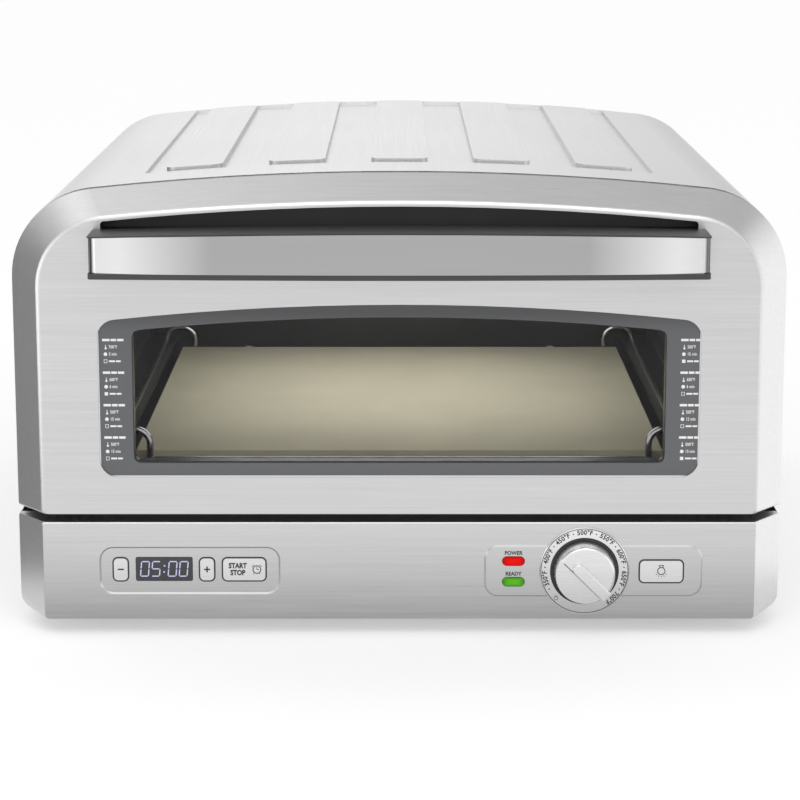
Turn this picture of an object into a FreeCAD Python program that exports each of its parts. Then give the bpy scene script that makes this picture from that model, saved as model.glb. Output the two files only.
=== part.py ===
import FreeCAD, Part
import math
import os

# Countertop pizza oven. Millimetres, +X to the user's right, +Y to the back, +Z up.
# The origin is on the worktop, under the middle of the oven.

# overall envelope
half_width = 219.0
face_half_width = 202.5
back_y = 241.5
handle_front_y = -241.5
face_y = -213.0

# heights
base_bottom = 8.9
base_top = 66.7
deck_top = 71.0
door_bottom = 71.4
door_crest = 263.8
face_crest = 249.8

# the arch shared by door and cover
arch_radius = 1627.0
rim_corner = 50.0
face_corner = 40.0
bevel_depth = 20.0
bevel_back_y = face_y + bevel_depth
rim_y = face_y + 24.0
cover_y = rim_y + 4.0
cover_rear_y = 227.5
sheet = 1.2
edge_round = 3.6
edge_steps = 4

# tray and ribs pressed into the top cover
tray_half_width = 148.0
tray_depth = 2.0
tray_front_y = face_y + 70.0
tray_rear_y = 222.0
rib_width = 33.0
rib_pitch = 60.0
rib_front_y = face_y + 78.0
rib_rear_y = 219.0
rib_rise = 3.2

# door window
window_half_width = 169.2
window_bottom = 92.9
window_crest = 192.1
window_arch = 1500.0
window_corner = 10.5
clear_half_width = 150.0
clear_bottom = 101.0
clear_crest = 184.6
clear_corner = 3.0

# grip recess and handle
grip_half_width = 166.0
grip_bottom = 234.0
grip_crest = 247.4
grip_corner = 2.0
grip_foot = 1.0
grip_back_y = face_y + 14.5
handle_half_length = 170.2
handle_top_bow = 2.1
handle_foot_bow = 0.8
handle_bottom = 213.4
handle_top = 235.7
lip_bottom = 210.3
ledge_top = 236.7
strip_half_length = 169.6
strip_flat = 105.0
strip_bow = 2.6
strip_curl = 4.2

# hinge: the door drops forward about a line just above its bottom edge
hinge_y = face_y + 9.0
hinge_z = door_bottom + 7.5
pin_radius = 3.0
lug_x = 187.5
panel_rear_y = hinge_y + 8.0
rack_clear_x = 172.0

# cooking chamber
liner_half_width = 180.0
liner_floor = 78.5
liner_roof = 222.0
liner_rear_y = 190.0
frame_y = -185.2
heater_radius = 3.3
upper_heater_z = 209.0
lower_heater_z = 83.4

# rack and stone
stone_width = 305.0
stone_front_y = -177.0
stone_rear_y = stone_front_y + stone_width
stone_bottom = 92.3
stone_top = 99.8
cross_wire_radius = 2.0
thin_wire_radius = 1.5
side_wire_x = 164.0
side_wire_z = 104.0

# controls on the fascia
fascia_sheet = 1.5
control_z = 38.6
panel_step = 1.0
panel_corner = 8.0
corner_foot = 2.5
bevel_foot = 10.0
key_gap = 0.5
left_panel = (-119.3, 38.1, 103.1, 28.0)
right_panel = (110.5, 38.1, 124.3, 30.4)
display = (-134.0, 38.8, 32.6, 14.3)
minus_key = (-158.8, control_z, 7.8, 12.9)
plus_key = (-109.6, control_z, 7.8, 12.9)
start_key = (-88.4, control_z, 24.0, 12.9)
lamp_key = (149.2, 38.0, 24.2, 12.5)
red_lens = (65.0, 44.0, 13.0, 5.6)
green_lens = (65.0, 31.8, 13.0, 5.6)
dial_x = 105.4
dial_z = 38.3
dial_radius = 25.5
well_radius = 19.6
knob_radius = 17.5
grip_half_thickness = 3.2
key_proud = 0.35
board_front_y = face_y + 17.0
sunk_surface = face_y + panel_step
raised_surface = face_y - panel_step

# fixings and fittings: (x, y) or (x, z)
foot_places = [(-170, -160), (170, -160), (-170, 190), (170, 190)]
screw_places = [(-195, 90), (195, 90), (-195, 180), (195, 180), (-100, 250), (100, 250)]
door_screw_places = [(-196, 110), (196, 110), (-196, 190), (196, 190), (-100, 249.5), (100, 249.5)]
spacer_places = [(-150, 110), (150, 110), (-150, 215), (150, 215)]
cord_x, cord_z = 150.0, 40.0
probe_x, probe_z = 164.0, 202.0
lamp_y, lamp_z = 60.0, 175.0

os.makedirs("parts", exist_ok=True)


def save(name, shape):
    shape = shape.removeSplitter()
    if not shape.isValid():
        print("not valid:", name)
    shape.exportStep("parts/" + name + ".step")
    bounds = shape.BoundBox
    print(f"{name:20s} solids {len(shape.Solids):3d}  volume {shape.Volume:11.1f}  "
          f"y {bounds.YMin:7.1f} {bounds.YMax:7.1f}  z {bounds.ZMin:6.1f} {bounds.ZMax:6.1f}")


def vec(x, y, z):
    return FreeCAD.Vector(x, y, z)


def block(x0, x1, y0, y1, z0, z1):
    return Part.makeBox(x1 - x0, y1 - y0, z1 - z0, vec(x0, y0, z0))


def rod_x(x0, x1, y, z, radius):
    return Part.makeCylinder(radius, x1 - x0, vec(x0, y, z), vec(1, 0, 0))


def rod_y(y0, y1, x, z, radius):
    return Part.makeCylinder(radius, y1 - y0, vec(x, y0, z), vec(0, 1, 0))


def rod_z(z0, z1, x, y, radius):
    return Part.makeCylinder(radius, z1 - z0, vec(x, y, z0), vec(0, 0, 1))


def mirrored(shape):
    """The shape and its twin on the other side of the middle plane."""
    twin = shape.mirror(vec(0, 0, 0), vec(1, 0, 0))
    return [shape, twin]


def joined(shapes):
    result = shapes[0]
    if len(shapes) > 1:
        result = result.multiFuse(shapes[1:])
    return result


def group(shapes):
    return Part.makeCompound(shapes)


def arc_through(first, middle, last):
    return Part.Arc(first, middle, last).toShape()


def corner_arc(cx, cz, radius, start, end, y):
    """Arc in the XZ plane about (cx, cz), angles in degrees from +X towards +Z."""
    points = []
    for degrees in (start, (start + end) / 2, end):
        angle = math.radians(degrees)
        points.append(vec(cx + radius * math.cos(angle), y, cz + radius * math.sin(angle)))
    return arc_through(*points)


def arch_wire(width, bottom, crest, radius, corner, foot, y):
    """Closed outline: flat bottom, straight sides and a shallow arch with rounded shoulders."""
    centre_z = crest - radius
    shoulder_x = width - corner
    shoulder_z = centre_z + math.sqrt((radius - corner) ** 2 - shoulder_x ** 2)
    top_angle = math.degrees(math.atan2(shoulder_z - centre_z, shoulder_x))
    edges = [
        Part.makeLine(vec(-width + foot, y, bottom), vec(width - foot, y, bottom)),
        corner_arc(width - foot, bottom + foot, foot, -90, 0, y),
        Part.makeLine(vec(width, y, bottom + foot), vec(width, y, shoulder_z)),
        corner_arc(shoulder_x, shoulder_z, corner, 0, top_angle, y),
        corner_arc(0, centre_z, radius, top_angle, 180 - top_angle, y),
        corner_arc(-shoulder_x, shoulder_z, corner, 180 - top_angle, 180, y),
        Part.makeLine(vec(-width, y, shoulder_z), vec(-width, y, bottom + foot)),
        corner_arc(-width + foot, bottom + foot, foot, 180, 270, y),
    ]
    return Part.Wire(edges)


def arch_prism(width, bottom, crest, radius, corner, foot, y0, y1):
    face = Part.Face(arch_wire(width, bottom, crest, radius, corner, foot, y0))
    return face.extrude(vec(0, y1 - y0, 0))


def rim_prism(inset, bottom, y0, y1):
    """Prism of the oven's outer arch, moved inwards by inset."""
    return arch_prism(half_width - inset, bottom, door_crest - inset, arch_radius - inset,
                      rim_corner - inset, 1.5, y0, y1)


def rounded_wire(cx, cz, width, height, radius, y):
    x0, x1 = cx - width / 2, cx + width / 2
    z0, z1 = cz - height / 2, cz + height / 2
    edges = [
        Part.makeLine(vec(x0 + radius, y, z0), vec(x1 - radius, y, z0)),
        corner_arc(x1 - radius, z0 + radius, radius, -90, 0, y),
        Part.makeLine(vec(x1, y, z0 + radius), vec(x1, y, z1 - radius)),
        corner_arc(x1 - radius, z1 - radius, radius, 0, 90, y),
        Part.makeLine(vec(x1 - radius, y, z1), vec(x0 + radius, y, z1)),
        corner_arc(x0 + radius, z1 - radius, radius, 90, 180, y),
        Part.makeLine(vec(x0, y, z1 - radius), vec(x0, y, z0 + radius)),
        corner_arc(x0 + radius, z0 + radius, radius, 180, 270, y),
    ]
    return Part.Wire(edges)


def rounded_block(outline, radius, y0, y1, grow=0.0):
    """Rounded rectangle (centre x, centre z, width, height) drawn out along Y."""
    cx, cz, width, height = outline
    wire = rounded_wire(cx, cz, width + 2 * grow, height + 2 * grow, radius + grow, y0)
    return Part.Face(wire).extrude(vec(0, y1 - y0, 0))


def obround(outline, y0, y1, grow=0.0):
    radius = outline[3] / 2 - 0.01
    return rounded_block(outline, radius, y0, y1, grow)


def base_wire(width, foot, y):
    head = 1.5
    edges = [
        Part.makeLine(vec(-width + foot, y, base_bottom), vec(width - foot, y, base_bottom)),
        corner_arc(width - foot, base_bottom + foot, foot, -90, 0, y),
        Part.makeLine(vec(width, y, base_bottom + foot), vec(width, y, base_top - head)),
        corner_arc(width - head, base_top - head, head, 0, 90, y),
        Part.makeLine(vec(width - head, y, base_top), vec(-width + head, y, base_top)),
        corner_arc(-width + head, base_top - head, head, 90, 180, y),
        Part.makeLine(vec(-width, y, base_top - head), vec(-width, y, base_bottom + foot)),
        corner_arc(-width + foot, base_bottom + foot, foot, 180, 270, y),
    ]
    return Part.Wire(edges)


def arch_layer(width, upper, lower, y0, y1):
    """Curved layer between two depths below the cover's crest, out to plus and minus width."""
    outer = arch_radius - upper
    inner = arch_radius - lower
    centre_z = door_crest - arch_radius
    edges = []
    ends = []
    for radius in (outer, inner):
        angle = math.degrees(math.acos(width / radius))
        edges.append(corner_arc(0, centre_z, radius, angle, 180 - angle, y0))
        ends.append(centre_z + math.sqrt(radius ** 2 - width ** 2))
    for side in (-width, width):
        edges.append(Part.makeLine(vec(side, y0, ends[0]), vec(side, y0, ends[1])))
    wire = Part.Wire(Part.__sortEdges__(edges))
    return Part.Face(wire).extrude(vec(0, y1 - y0, 0))


def bent_tube(points, tube_radius, bend_radius):
    """Round bar along straight runs joined by tangent arcs."""
    corners = [vec(*point) for point in points]
    edges = []
    start = corners[0]
    for index in range(1, len(corners) - 1):
        corner = corners[index]
        arriving = (corner - corners[index - 1]).normalize()
        leaving = (corners[index + 1] - corner).normalize()
        turn = arriving.getAngle(leaving)
        reach = bend_radius * math.tan(turn / 2)
        first = corner - arriving * reach
        last = corner + leaving * reach
        inward = (leaving - arriving).normalize()
        drop = bend_radius * (1 / math.cos(turn / 2) - 1)
        middle = corner + inward * drop
        edges.append(Part.makeLine(start, first))
        edges.append(arc_through(first, middle, last))
        start = last
    edges.append(Part.makeLine(start, corners[-1]))
    path = Part.Wire(edges)
    ring = Part.Wire([Part.makeCircle(tube_radius, corners[0], corners[1] - corners[0])])
    return path.makePipeShell([ring], True, True)


def soft_loft(front, back, radius, face_z):
    """Straight loft between two outlines, its front edge above face_z rounded over."""
    body = Part.makeLoft([front, back], True, True)
    edges = []
    for edge in body.Edges:
        box = edge.BoundBox
        if box.YMax < face_y + 0.1 and box.ZMax > face_z:
            edges.append(edge)
    return body.makeFillet(radius, edges)


def stepped_pad(outline, y, direction):
    """Shallow rounded pad with sloping edges that rises from, or sinks into, the plane at y."""
    cx, cz, width, height = outline
    wide = rounded_wire(cx, cz, width, height, panel_corner, y)
    narrow = rounded_wire(cx, cz, width - 2 * panel_step, height - 2 * panel_step, panel_corner - panel_step,
                          y + direction * panel_step)
    return Part.makeLoft([wide, narrow], True, True)


# ---------------------------------------------------------------- base

def base_fascia():
    front = base_wire(face_half_width, corner_foot, face_y)
    back = base_wire(half_width, bevel_foot, bevel_back_y)
    outer = soft_loft(front, back, 1.0, base_bottom + 1)
    outer = outer.fuse(Part.Face(back).extrude(vec(0, rim_y - bevel_back_y, 0)))
    hollow = block(-face_half_width + 2, face_half_width - 2, face_y + fascia_sheet, rim_y + 1,
                   base_bottom + fascia_sheet, base_top - fascia_sheet)
    keep_corner = []
    for side in (-1, 1):
        cx = side * (face_half_width - 2 - 6)
        keep_corner.append(block(cx - 6, cx + 6, face_y + 1, rim_y + 2, base_bottom, base_bottom + 10))
    hollow = hollow.cut(joined(keep_corner))
    shell = outer.cut(hollow)
    shell = shell.cut(stepped_pad(left_panel, face_y, 1))
    dial_seat = rod_y(face_y - 2, face_y + 1, dial_x, dial_z, dial_radius + 0.1)
    pad = stepped_pad(right_panel, face_y, -1).cut(dial_seat)
    shell = shell.fuse(pad)
    openings = [rounded_block(display, 1.2, face_y - 1, face_y + 3)]
    for key_outline in (minus_key, plus_key, start_key, lamp_key):
        openings.append(rounded_block(key_outline, 2.4, face_y - 1, face_y + 3, key_gap))
    for lens in (red_lens, green_lens):
        openings.append(obround(lens, face_y - 1, face_y + 3, 0.05))
    openings.append(rod_y(face_y - 1, face_y + 3, dial_x, dial_z, 4.6))
    return shell.cut(joined(openings))


def base_skirt():
    corner_z = base_bottom + bevel_foot
    corner_x = half_width - bevel_foot
    rear = 226.0
    outer = Part.Face(base_wire(half_width, bevel_foot, rim_y + 0.5)).extrude(vec(0, rear - rim_y - 0.5, 0))
    cuts = [block(-half_width + 1, half_width - 1, rim_y, rear - 1, corner_z, base_top + 1),
            block(-corner_x, corner_x, rim_y, rear - 1, base_bottom + 1, corner_z + 1),
            block(-197.0, 197.0, rim_y, rear - 1, base_bottom - 1, corner_z)]
    for side in (-1, 1):
        cuts.append(rod_y(rim_y, rear - 1, side * corner_x, corner_z, bevel_foot - 1))
    shell = outer.cut(joined(cuts))
    return shell.cut(rod_y(220, 230, cord_x, cord_z, 8.1))


def base_pan():
    floor = block(-196.5, 196.5, rim_y + 1, 224.5, base_bottom, base_bottom + sheet)
    flanges = []
    for side in (-1, 1):
        x0 = min(side * 195.5, side * 196.5)
        flanges.append(block(x0, x0 + 1.0, rim_y + 1, 224.5, base_bottom, base_bottom + 14))
    pan = joined([floor] + flanges)
    cuts = []
    for x, y in foot_places:
        cuts.append(rod_z(base_bottom - 1, base_bottom + 3, x, y, 2.2))
    for row in range(-4, 5):
        cuts.append(block(row * 12 - 2, row * 12 + 2, -60, 0, base_bottom - 1, base_bottom + 3))
    return pan.cut(joined(cuts))


def deck():
    """Dark shelf between the base and the upper housing, set back from the front."""
    plate = block(-205.0, 205.0, hinge_y + 9.5, 224.0, base_top + 0.2, deck_top)
    plate = plate.cut(block(-150, 150, -120, 150, base_top - 1, deck_top + 1))
    slots = []
    for side in (-1, 1):
        for index in range(6):
            cx = side * (172 + 6 * index)
            slots.append(block(cx - 1.6, cx + 1.6, hinge_y + 9, hinge_y + 16, base_top + 1.4, deck_top - 0.8))
    return plate.cut(joined(slots))


def foot(x, y):
    body = Part.makeCone(10.5, 13.0, base_bottom, vec(x, y, 0))
    body = body.cut(rod_z(-1, 4.0, x, y, 4.6))
    return body.cut(rod_z(-1, base_bottom + 1, x, y, 2.2))


def foot_screw(x, y):
    return rod_z(1.5, 3.9, x, y, 4.2).fuse(rod_z(1.5, base_bottom + 6, x, y, 2.0))


# ---------------------------------------------------------------- upper housing

def top_cover():
    shell = rim_prism(0, door_bottom, cover_y, cover_rear_y)
    shell = shell.cut(rim_prism(sheet, door_bottom - 5, cover_y - 1, cover_rear_y + 1))
    shell = shell.cut(block(-half_width, half_width, cover_y - 1, cover_rear_y + 1, 0, door_bottom + 0.6))
    wall = 1.2
    pan = arch_layer(tray_half_width + wall, sheet - 0.2, tray_depth + sheet,
                     tray_front_y - wall, tray_rear_y + wall)
    hollow = arch_layer(tray_half_width, -3.0, tray_depth, tray_front_y, tray_rear_y)
    shell = shell.fuse(pan).cut(hollow)
    ribs = []
    for index in range(-2, 3):
        outline = block(index * rib_pitch - rib_width / 2, index * rib_pitch + rib_width / 2,
                        rib_front_y, rib_rear_y, 200, 300)
        uprights = [edge for edge in outline.Edges if abs(edge.Vertexes[0].Z - edge.Vertexes[1].Z) > 50]
        outline = outline.makeFillet(6.0, uprights)
        layer = arch_layer(tray_half_width, tray_depth - rib_rise, tray_depth + 0.6, rib_front_y, rib_rear_y)
        ribs.append(outline.common(layer))
    return shell.multiFuse(ribs)


def back_panel():
    plate = rim_prism(sheet + 0.25, door_bottom + 0.6, 225.0, 226.2)
    slots = []
    for row in range(6):
        for column in range(-5, 6):
            slots.append(rounded_block((column * 26, 190 + row * 9, 20, 3.4), 1.6, 224, 228))
    for x, z in screw_places:
        slots.append(rod_y(224, 228, x, z, 1.85))
    return plate.cut(joined(slots))


def front_frame():
    plate = rim_prism(sheet + 0.25, door_bottom + 0.6, frame_y, frame_y + sheet)
    mouth = block(-liner_half_width, liner_half_width, frame_y - 1, frame_y + 3, liner_floor, liner_roof)
    return plate.cut(mouth)


def cavity_liner():
    outer = block(-liner_half_width - 1, liner_half_width + 1, frame_y + sheet, liner_rear_y + 1,
                  liner_floor - 1, liner_roof + 1)
    inner = block(-liner_half_width, liner_half_width, frame_y, liner_rear_y, liner_floor, liner_roof)
    shell = outer.cut(inner)
    holes = []
    for side in (-1, 1):
        for z in (upper_heater_z, lower_heater_z):
            holes.append(rod_y(liner_rear_y - 1, liner_rear_y + 3, side * 110, z, 5.0))
    holes.append(rod_y(liner_rear_y - 1, liner_rear_y + 3, probe_x, probe_z, 2.7))
    holes.append(rod_x(liner_half_width - 1, liner_half_width + 3, lamp_y, lamp_z, 17.0))
    return shell.cut(joined(holes))


def insulation():
    outer = block(-196, 196, -182, 204, liner_floor - 1, 238)
    inner = block(-181.3, 181.3, -183, 191.3, liner_floor - 5, 223.3)
    shell = outer.cut(inner)
    holes = []
    for side in (-1, 1):
        for z in (upper_heater_z, lower_heater_z):
            holes.append(rod_y(190, 206, side * 110, z, 8.6))
    holes.append(rod_y(190, 206, probe_x, probe_z, 8.0))
    holes.append(rod_y(190, 206, -60, 150, 9.5))
    holes.append(rod_x(180, 198, lamp_y, lamp_z, 21.0))
    return shell.cut(joined(holes))


def rack_rail():
    """Shelf angle on the right wall that carries the rack's side wire."""
    shelf = block(158.5, liner_half_width - 0.1, frame_y + 4, 160, side_wire_z - 3.9, side_wire_z - 2.2)
    wall_x = liner_half_width - 0.1
    upright = block(wall_x - 1.5, wall_x, frame_y + 4, 160, side_wire_z - 12, side_wire_z + 9)
    lip = block(174.0, wall_x, frame_y + 4, 160, side_wire_z + 7.5, side_wire_z + 9)
    return joined([shelf, upright, lip])


def heater(z):
    front, rear, exit_y = -150.0, 150.0, 214.0
    points = []
    legs = (-110.0, -66.0, -22.0, 22.0, 66.0, 110.0)
    forward = True
    for index, x in enumerate(legs):
        first, last = (rear, front) if forward else (front, rear)
        points.append((x, exit_y if index == 0 else first, z))
        points.append((x, exit_y if index == len(legs) - 1 else last, z))
        forward = not forward
    return bent_tube(points, heater_radius, 20.0)


def heater_clip(y, z, roof):
    strap = block(-130, 130, y - 5, y + 5, z, z + 1.0)
    low, high = min(z, roof), max(z + 1.0, roof)
    legs = []
    for side in (-1, 1):
        x0 = side * 129.5 - 0.5
        legs.append(block(x0, x0 + 1.0, y - 5, y + 5, low, high))
    return joined([strap] + legs)


def ceramic_bush(x, z):
    body = rod_y(liner_rear_y - 3, 208, x, z, 4.8)
    body = body.fuse(rod_y(liner_rear_y + 1.1, liner_rear_y + 4, x, z, 8.0))
    return body.cut(rod_y(liner_rear_y - 5, 210, x, z, heater_radius + 0.05))


def lamp_parts():
    lens = rod_x(liner_half_width - 3, liner_half_width + 2.5, lamp_y, lamp_z, 16.7)
    can = rod_x(liner_half_width + 2.7, 213, lamp_y, lamp_z, 20.0)
    can = can.cut(rod_x(liner_half_width + 2, 211.8, lamp_y, lamp_z, 18.8))
    glass = rod_x(187, 203, lamp_y, lamp_z, 8.0)
    glass = glass.makeFillet(5.0, [edge for edge in glass.Edges if edge.BoundBox.XMax < 188])
    bulb = glass.fuse(rod_x(202, 211.6, lamp_y, lamp_z, 6.0))
    return lens, can, bulb


def hinge_lug():
    """Steel lug on the right of the front frame; its eye carries the door's pin."""
    x0, x1 = lug_x - 1.5, lug_x + 1.5
    eye = rod_x(x0, x1, hinge_y, hinge_z, 6.0)
    arm = block(x0, x1, hinge_y, frame_y - 0.05, hinge_z - 4.0, hinge_z + 4.0)
    foot_plate = block(x0 - 3.5, x1 + 3.5, frame_y - 1.6, frame_y - 0.05, hinge_z - 6.0, hinge_z + 18.0)
    body = joined([eye, arm, foot_plate])
    return body.cut(rod_x(x0 - 1, x1 + 1, hinge_y, hinge_z, pin_radius + 0.05))


# ---------------------------------------------------------------- door

def door_shell():
    slope = math.atan2(bevel_depth, half_width - face_half_width)
    edge_start = edge_round * math.tan(slope / 2)
    sections = []
    for step in range(edge_steps + 1):
        angle = slope * step / edge_steps
        inset = edge_start - edge_round * math.sin(angle)
        sections.append(arch_wire(face_half_width - inset, door_bottom, face_crest - inset,
                                  arch_radius - inset, face_corner - inset, 2.0,
                                  face_y + edge_round * (1 - math.cos(angle))))
    back = arch_wire(half_width, door_bottom, door_crest, arch_radius, rim_corner, 2.0, bevel_back_y)
    outer = Part.makeLoft(sections + [back], True, True)
    outer = outer.fuse(Part.Face(back).extrude(vec(0, rim_y - bevel_back_y, 0)))
    front_in = arch_wire(face_half_width - sheet, door_bottom + sheet, face_crest - sheet,
                         arch_radius - sheet, face_corner - sheet, 1.5, face_y + sheet)
    back_in = arch_wire(half_width - sheet, door_bottom + sheet, door_crest - sheet,
                        arch_radius - sheet, rim_corner - sheet, 1.5, bevel_back_y + 0.6)
    inner = Part.makeLoft([front_in, back_in], True, True)
    inner = inner.fuse(Part.Face(back_in).extrude(vec(0, 10, 0)))
    shell = outer.cut(inner)
    window = arch_prism(window_half_width, window_bottom, window_crest, window_arch,
                        window_corner, window_corner, face_y - 1, face_y + 3)
    grip = arch_prism(grip_half_width, grip_bottom, grip_crest, arch_radius, grip_corner, grip_foot,
                      face_y - 1, face_y + 3)
    shell = shell.cut(joined([window, grip]))
    cuts = [block(-rack_clear_x, rack_clear_x, panel_rear_y, rim_y + 1, door_bottom - 1, door_bottom + 3)]
    for side in (-1, 1):
        cuts.append(block(side * lug_x - 2.6, side * lug_x + 2.6, hinge_y - 7, rim_y + 1,
                          door_bottom - 1, door_bottom + 2))
        cuts.append(rod_y(face_y - 1, face_y + 3, side * 160, 223.5, 2.1))
    return shell.cut(joined(cuts))


def grip_pocket():
    thickness = 0.8
    outer = arch_prism(grip_half_width + thickness, grip_bottom - thickness, grip_crest + thickness,
                       arch_radius + thickness, grip_corner + thickness, grip_foot + thickness,
                       face_y + sheet + 0.1, grip_back_y + thickness)
    inner = arch_prism(grip_half_width, grip_bottom, grip_crest, arch_radius, grip_corner, grip_foot,
                       face_y, grip_back_y)
    cup = outer.cut(inner)
    slots = []
    for x in (-110.0, -36.0, 36.0, 110.0):
        slots.append(block(x - 21, x + 21, grip_back_y - 3.2, grip_back_y - 0.5,
                           grip_bottom - 2, grip_bottom + 1))
    return cup.cut(joined(slots))


def bowed_bar(half_length, bottom, top, y0, y1):
    """Bar whose top and bottom edges bow outwards a little towards its middle, seen from the front."""
    foot = bottom + handle_foot_bow
    head = top - handle_top_bow
    edges = [
        arc_through(vec(-half_length, y0, foot), vec(0, y0, bottom), vec(half_length, y0, foot)),
        Part.makeLine(vec(half_length, y0, foot), vec(half_length, y0, head)),
        arc_through(vec(half_length, y0, head), vec(0, y0, top), vec(-half_length, y0, head)),
        Part.makeLine(vec(-half_length, y0, head), vec(-half_length, y0, foot)),
    ]
    return Part.Face(Part.Wire(edges)).extrude(vec(0, y1 - y0, 0))


def handle_strip():
    """Bright steel strip round the front of the handle: flat in the middle, easing back to curled ends."""
    front = handle_front_y
    rear = front + 8.0
    shoulder = strip_half_length - strip_curl

    def outline(inset):
        end = strip_half_length - inset
        middle = [vec(-strip_flat, front + inset, 0), vec(strip_flat, front + inset, 0)]
        half = (strip_flat + shoulder) / 2
        edges = [Part.makeLine(middle[0], middle[1])]
        for side in (-1, 1):
            bowed = vec(side * half, front + inset + strip_bow / 4, 0)
            eased = vec(side * shoulder, front + inset + strip_bow, 0)
            tip = vec(side * end, front + strip_bow + strip_curl, 0)
            curl = vec(side * (end - 0.29 * strip_curl),
                       front + inset * 0.7 + strip_bow + 0.29 * strip_curl, 0)
            edges.append(arc_through(vec(side * strip_flat, front + inset, 0), bowed, eased))
            edges.append(arc_through(eased, curl, tip))
            edges.append(Part.makeLine(tip, vec(side * end, rear, 0)))
        edges.append(Part.makeLine(vec(-end, rear, 0), vec(end, rear, 0)))
        return Part.Wire(Part.__sortEdges__(edges))

    height = vec(0, 0, handle_top - handle_bottom)
    solid = Part.Face(outline(0.0)).extrude(height)
    strip = solid.cut(Part.Face(outline(1.2)).extrude(height))
    strip.translate(vec(0, 0, handle_bottom))
    strip = strip.cut(block(-200, 200, rear - 0.01, rear + 1, 200, 240))
    return strip.common(bowed_bar(handle_half_length, handle_bottom, handle_top, front - 1, rear + 1))


def handle_core():
    """Dark moulding of the handle: lips above and below the strip, and two end blocks behind it."""
    length = handle_half_length
    rear = face_y - 0.15
    front = handle_front_y + 0.7
    body = bowed_bar(length, lip_bottom, ledge_top, front, rear)
    uprights = [edge for edge in body.Edges
                if abs(edge.Vertexes[0].Z - edge.Vertexes[1].Z) > 10 and edge.Vertexes[0].Y < front + 1]
    body = body.makeFillet(2.0, uprights)
    seat_bottom, seat_top = handle_bottom - 0.1, handle_top + 0.1
    seat = bowed_bar(length + 1, seat_bottom, seat_top, front - 1, handle_front_y + 8.1)
    plug = block(-strip_flat, strip_flat, handle_front_y + 1.4, handle_front_y + 9,
                 seat_bottom - 1, seat_top + 1)
    plug = plug.fuse(block(-strip_half_length + 8, strip_half_length - 8, handle_front_y + strip_bow + 2.0,
                           handle_front_y + 9, seat_bottom - 1, seat_top + 1))
    body = body.cut(seat.cut(plug))
    body = body.cut(block(-152, 152, handle_front_y + 4.5, rear + 1, lip_bottom - 1, ledge_top - 5.0))
    for side in (-1, 1):
        body = body.cut(rod_y(handle_front_y + 10, rear + 1, side * 160, 223.5, 2.05))
    return body


def outer_glass():
    grow = 6.5
    return arch_prism(window_half_width + grow, window_bottom - grow, window_crest + grow, window_arch,
                      window_corner, window_corner, face_y + sheet + 0.1, face_y + sheet + 4.1)


def glass_spacer():
    y0, y1 = face_y + 5.5, face_y + 12.6
    outer = arch_prism(clear_half_width + 12, clear_bottom - 10, clear_crest + 9, window_arch,
                       8.0, 8.0, y0, y1)
    inner = arch_prism(clear_half_width, clear_bottom, clear_crest, window_arch,
                       clear_corner, clear_corner, y0 - 1, y1 + 1)
    return outer.cut(inner)


def inner_glass():
    return arch_prism(clear_half_width + 8, clear_bottom - 8, clear_crest + 8, window_arch, 5.0, 5.0,
                      face_y + 12.7, face_y + 15.7)


def door_inner_panel():
    y1 = panel_rear_y
    y0 = y1 - sheet
    plate = arch_prism(face_half_width + 8, door_bottom + 1.5, face_crest + 7, arch_radius, 40.0, 1.5, y0, y1)
    opening = arch_prism(clear_half_width + 1, clear_bottom - 1, clear_crest + 1, window_arch,
                         4.0, 4.0, y0 - 1, y1 + 1)
    plate = plate.cut(opening)
    cuts = []
    for side in (-1, 1):
        cuts.append(block(side * lug_x - 2.8, side * lug_x + 2.8, y0 - 1, y1 + 1, door_bottom, hinge_z + 8.5))
    for x, z in door_screw_places:
        cuts.append(rod_y(y0 - 1, y1 + 1, x, z, 1.65))
    return plate.cut(joined(cuts))


def hinge_ears():
    ears = []
    for offset in (-4.6, 4.6):
        x0 = lug_x + offset - 1.0
        ear = block(x0, x0 + 2.0, face_y + 2.0, panel_rear_y - sheet - 0.1, hinge_z - 5.6, hinge_z + 16)
        ears.append(ear)
    web = block(lug_x - 5.6, lug_x + 5.6, panel_rear_y - sheet - 1.6, panel_rear_y - sheet - 0.1,
                hinge_z + 9.0, hinge_z + 16)
    bracket = joined(ears + [web])
    return bracket.cut(rod_x(lug_x - 8, lug_x + 8, hinge_y, hinge_z, pin_radius + 0.02))


def hinge_pin():
    shank = rod_x(lug_x - 6.6, lug_x + 6.6, hinge_y, hinge_z, pin_radius)
    heads = [rod_x(lug_x - 8.2, lug_x - 6.0, hinge_y, hinge_z, 4.2),
             rod_x(lug_x + 6.0, lug_x + 8.2, hinge_y, hinge_z, 4.2)]
    return joined([shank] + heads)


def door_screw(x, z):
    head = rod_y(panel_rear_y + 0.02, panel_rear_y + 1.4, x, z, 3.2)
    return head.fuse(rod_y(panel_rear_y - 7, panel_rear_y + 1, x, z, 1.6))


# ---------------------------------------------------------------- rack and stone

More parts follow.
